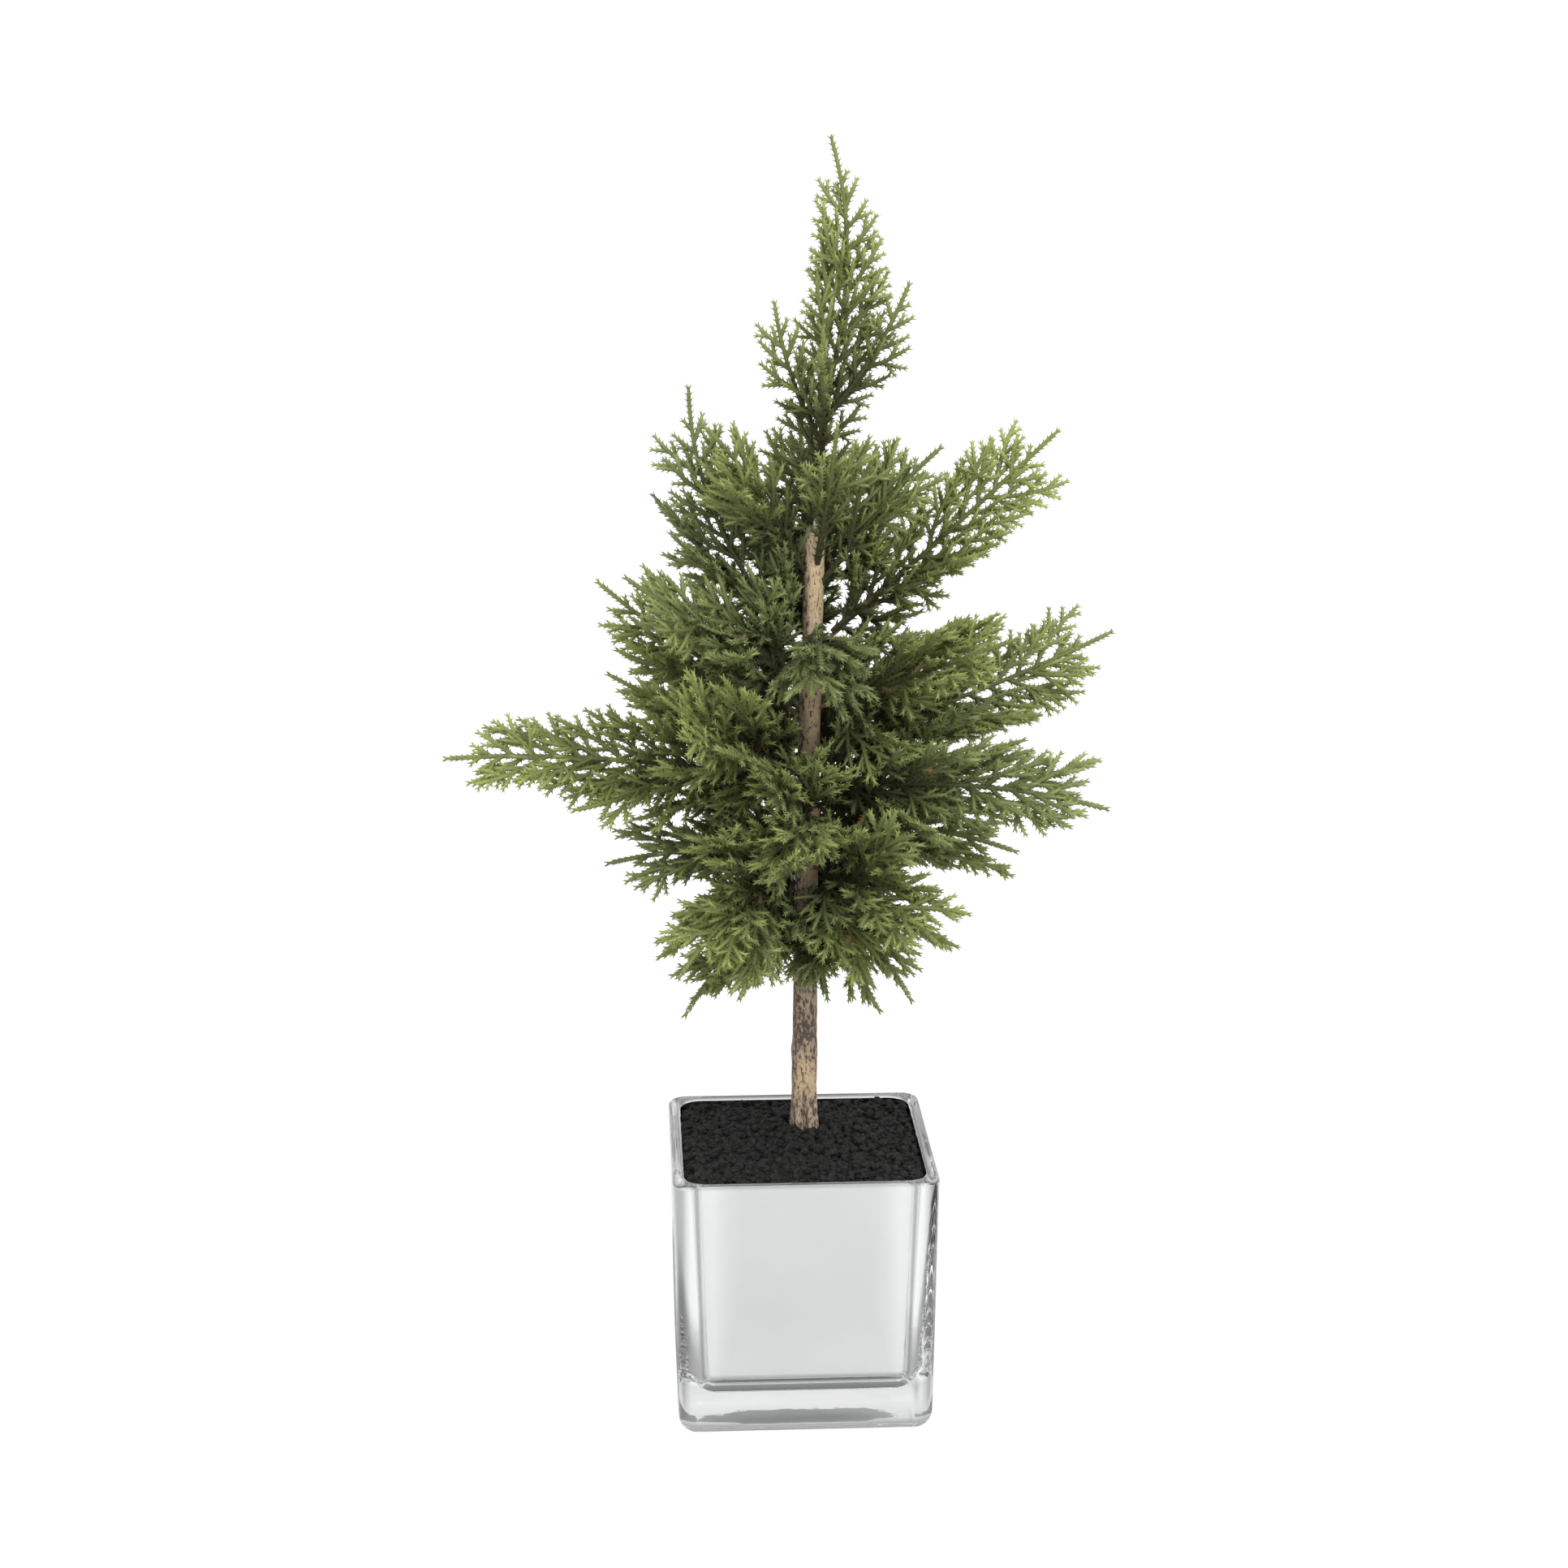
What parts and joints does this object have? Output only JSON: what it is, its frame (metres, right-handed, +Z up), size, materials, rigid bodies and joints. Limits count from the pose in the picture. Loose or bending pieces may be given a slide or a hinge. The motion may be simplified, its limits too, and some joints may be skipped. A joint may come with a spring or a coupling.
{
  "type": "artificial tabletop tree",
  "caption": "Small artificial conifer with bendable moulded sprays on a bare trunk, set in black soil in a silvered square glass cube.",
  "frame": {"origin": "middle of the glass cube's underside, on the surface it stands on", "axes": "+Z up along the trunk, +X to the tree's right, -Y to its front; the cube's walls face X and Y"},
  "size_m": [0.2503, 0.162, 0.4804],
  "materials": {
    "clear_glass": "polished",
    "silver_lining": "polished",
    "cast_plaster": "matte",
    "dry_foam": "matte",
    "black_soil": "matte",
    "painted_bark": "matte",
    "rod_steel": "satin",
    "wrapped_wire": "matte",
    "moulded_foliage": "satin"
  },
  "bodies": {
    "pot_and_trunk": {"glass_cube": "clear_glass", "mirror_lining": "silver_lining", "plaster_weight": "cast_plaster", "foam_block": "dry_foam", "soil_layer": "black_soil", "core_rod": "rod_steel", "trunk": "painted_bark", "leader_spray": "moulded_foliage", "spray_skirt_1": "moulded_foliage", "spray_skirt_2": "moulded_foliage", "spray_skirt_3": "moulded_foliage", "spray_skirt_4": "moulded_foliage", "spray_skirt_5": "moulded_foliage", "spray_skirt_6": "moulded_foliage", "spray_crown_1": "moulded_foliage", "spray_crown_2": "moulded_foliage", "spray_crown_3": "moulded_foliage", "spray_crown_4": "moulded_foliage", "spray_crown_5": "moulded_foliage", "spray_crown_6": "moulded_foliage"},
    "branch_low_1": {"wire_low_1": "wrapped_wire", "spray_low_1": "moulded_foliage"},
    "branch_low_2": {"wire_low_2": "wrapped_wire", "spray_low_2": "moulded_foliage"},
    "branch_low_3": {"wire_low_3": "wrapped_wire", "spray_low_3": "moulded_foliage"},
    "branch_low_4": {"wire_low_4": "wrapped_wire", "spray_low_4": "moulded_foliage"},
    "branch_low_5": {"wire_low_5": "wrapped_wire", "spray_low_5": "moulded_foliage"},
    "branch_low_6": {"wire_low_6": "wrapped_wire", "spray_low_6": "moulded_foliage"},
    "branch_low_7": {"wire_low_7": "wrapped_wire", "spray_low_7": "moulded_foliage"},
    "branch_wide_1": {"wire_wide_1": "wrapped_wire", "spray_wide_1": "moulded_foliage"},
    "branch_wide_2": {"wire_wide_2": "wrapped_wire", "spray_wide_2": "moulded_foliage"},
    "branch_wide_3": {"wire_wide_3": "wrapped_wire", "spray_wide_3": "moulded_foliage"},
    "branch_wide_4": {"wire_wide_4": "wrapped_wire", "spray_wide_4": "moulded_foliage"},
    "branch_wide_5": {"wire_wide_5": "wrapped_wire", "spray_wide_5": "moulded_foliage"},
    "branch_wide_6": {"wire_wide_6": "wrapped_wire", "spray_wide_6": "moulded_foliage"},
    "branch_wide_7": {"wire_wide_7": "wrapped_wire", "spray_wide_7": "moulded_foliage"},
    "branch_upper_1": {"wire_upper_1": "wrapped_wire", "spray_upper_1": "moulded_foliage"},
    "branch_upper_2": {"wire_upper_2": "wrapped_wire", "spray_upper_2": "moulded_foliage"},
    "branch_upper_3": {"wire_upper_3": "wrapped_wire", "spray_upper_3": "moulded_foliage"},
    "branch_upper_4": {"wire_upper_4": "wrapped_wire", "spray_upper_4": "moulded_foliage"},
    "branch_upper_5": {"wire_upper_5": "wrapped_wire", "spray_upper_5": "moulded_foliage"},
    "branch_upper_6": {"wire_upper_6": "wrapped_wire", "spray_upper_6": "moulded_foliage"}
  },
  "joints": [
    {"name": "bend_low_1", "type": "hinge", "parent": "pot_and_trunk", "child": "branch_low_1", "pos_m": [0.00737, 0.00272, 0.2265], "axis": [-0.0349, -0.9994, 0], "range_deg": [-10, 10]},
    {"name": "bend_low_2", "type": "hinge", "parent": "pot_and_trunk", "child": "branch_low_2", "pos_m": [0.00566, 0.00662, 0.2145], "axis": [0.766, -0.6428, 0], "range_deg": [-10, 10]},
    {"name": "bend_low_3", "type": "hinge", "parent": "pot_and_trunk", "child": "branch_low_3", "pos_m": [0.00118, 0.00751, 0.2105], "axis": [0.9397, 0.342, 0], "range_deg": [-10, 10]},
    {"name": "bend_low_4", "type": "hinge", "parent": "pot_and_trunk", "child": "branch_low_4", "pos_m": [-0.00167, 0.00328, 0.2165], "axis": [0.0349, 0.9994, 0], "range_deg": [-10, 10]},
    {"name": "bend_low_5", "type": "hinge", "parent": "pot_and_trunk", "child": "branch_low_5", "pos_m": [-0.00006, -0.00028, 0.2105], "axis": [-0.788, 0.6157, 0], "range_deg": [-10, 10]},
    {"name": "bend_low_6", "type": "hinge", "parent": "pot_and_trunk", "child": "branch_low_6", "pos_m": [0.00243, -0.00162, 0.2325], "axis": [-0.9903, 0.1392, 0], "range_deg": [-10, 10]},
    {"name": "bend_low_7", "type": "hinge", "parent": "pot_and_trunk", "child": "branch_low_7", "pos_m": [0.00537, -0.00037, 0.2105], "axis": [-0.809, -0.5878, 0], "range_deg": [-10, 10]},
    {"name": "bend_wide_1", "type": "hinge", "parent": "pot_and_trunk", "child": "branch_wide_1", "pos_m": [0.0076, 0.00315, 0.2565], "axis": [0.2419, -0.9703, 0], "range_deg": [-10, 10]},
    {"name": "bend_wide_2", "type": "hinge", "parent": "pot_and_trunk", "child": "branch_wide_2", "pos_m": [0.00493, 0.00631, 0.2485], "axis": [0.9272, -0.3746, 0], "range_deg": [-10, 10]},
    {"name": "bend_wide_3", "type": "hinge", "parent": "pot_and_trunk", "child": "branch_wide_3", "pos_m": [0.00095, 0.00609, 0.2445], "axis": [0.848, 0.5299, 0], "range_deg": [-10, 10]},
    {"name": "bend_wide_4", "type": "hinge", "parent": "pot_and_trunk", "child": "branch_wide_4", "pos_m": [-0.00013, 0.00352, 0.2685], "axis": [0.4067, 0.9135, 0], "range_deg": [-10, 10]},
    {"name": "bend_wide_5", "type": "hinge", "parent": "pot_and_trunk", "child": "branch_wide_5", "pos_m": [-0.00111, 0.00217, 0.2425], "axis": [-0.0698, 0.9976, 0], "range_deg": [-10, 10]},
    {"name": "bend_wide_6", "type": "hinge", "parent": "pot_and_trunk", "child": "branch_wide_6", "pos_m": [-0.00003, -0.00039, 0.2485], "axis": [-0.6293, 0.7771, 0], "range_deg": [-10, 10]},
    {"name": "bend_wide_7", "type": "hinge", "parent": "pot_and_trunk", "child": "branch_wide_7", "pos_m": [0.00715, 0.00075, 0.2405], "axis": [-0.4067, -0.9135, 0], "range_deg": [-10, 10]},
    {"name": "bend_upper_1", "type": "hinge", "parent": "pot_and_trunk", "child": "branch_upper_1", "pos_m": [0.00836, 0.00083, 0.2965], "axis": [-0.0698, -0.9976, 0], "range_deg": [-10, 10]},
    {"name": "bend_upper_2", "type": "hinge", "parent": "pot_and_trunk", "child": "branch_upper_2", "pos_m": [0.00395, 0.00545, 0.2865], "axis": [0.9994, 0.0349, 0], "range_deg": [-10, 10]},
    {"name": "bend_upper_3", "type": "hinge", "parent": "pot_and_trunk", "child": "branch_upper_3", "pos_m": [0.00018, 0.00149, 0.2925], "axis": [0.0698, 0.9976, 0], "range_deg": [-10, 10]},
    {"name": "bend_upper_4", "type": "hinge", "parent": "pot_and_trunk", "child": "branch_upper_4", "pos_m": [0.00027, -0.00028, 0.2825], "axis": [-0.4226, 0.9063, 0], "range_deg": [-10, 10]},
    {"name": "bend_upper_5", "type": "hinge", "parent": "pot_and_trunk", "child": "branch_upper_5", "pos_m": [0.00442, -0.00301, 0.3005], "axis": [-1, 0, 0], "range_deg": [-10, 10]},
    {"name": "bend_upper_6", "type": "hinge", "parent": "pot_and_trunk", "child": "branch_upper_6", "pos_m": [0.0074, -0.00037, 0.2725], "axis": [-0.5, -0.866, 0], "range_deg": [-10, 10]}
  ]
}
